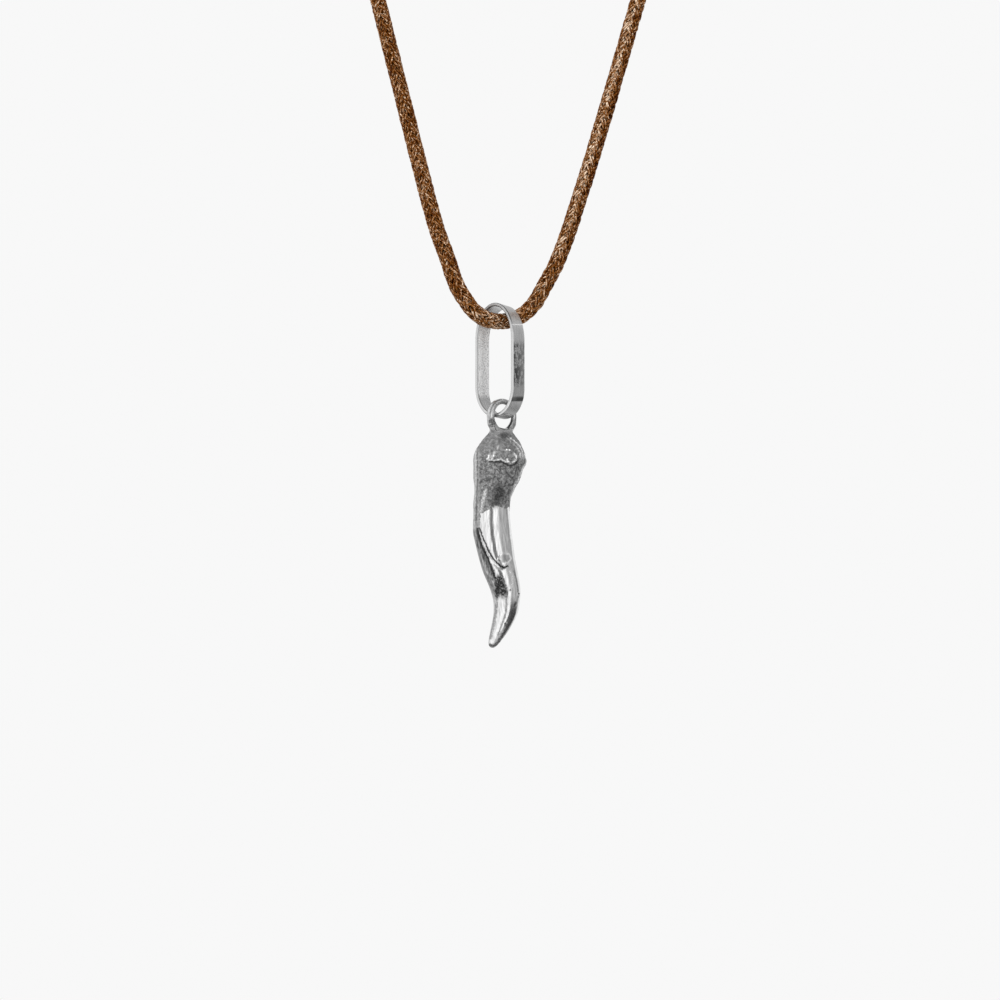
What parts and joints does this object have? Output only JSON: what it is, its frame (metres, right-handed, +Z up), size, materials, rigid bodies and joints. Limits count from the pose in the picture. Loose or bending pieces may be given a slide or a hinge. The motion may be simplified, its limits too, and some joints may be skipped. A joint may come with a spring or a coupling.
{
  "type": "horn pendant necklace",
  "caption": "Twisted silver horn charm with a cast ring, hung from a tall flat-strip bail on a braided brown cord necklace with a barrel clasp.",
  "frame": {"origin": "centre of the clasp, where the necklace sits on the wearer's nape", "axes": "+Z up, -Y towards the viewer and down the wearer's front, +X to the viewer's right"},
  "size_m": [0.1102, 0.1157, 0.2423],
  "materials": {
    "braided_cord": "waxed cotton, fine irregular braid, dark brown with tan strands",
    "clasp_metal": "plain satin silver",
    "silver_strip": "flat silver strip, bright edges, dark mottled patina on its outside",
    "cast_silver": "cast silver, matte dark cap, polished horn below it with patina in the hollows"
  },
  "bodies": {
    "necklace": {"cord": "braided_cord", "clasp": "clasp_metal"},
    "bail": {"bail": "silver_strip"},
    "horn": {"horn": "cast_silver"}
  },
  "joints": [
    {"name": "bail_swing", "type": "hinge", "parent": "necklace", "child": "bail", "pos_m": [0, -0.112, -0.212], "axis": [0.788, 0.6157, 0], "range_deg": [-60, 60]},
    {"name": "horn_swing", "type": "hinge", "parent": "bail", "child": "horn", "pos_m": [0.0004, -0.11216, -0.2203], "axis": [0.6561, -0.7547, 0], "range_deg": [-60, 60]}
  ]
}
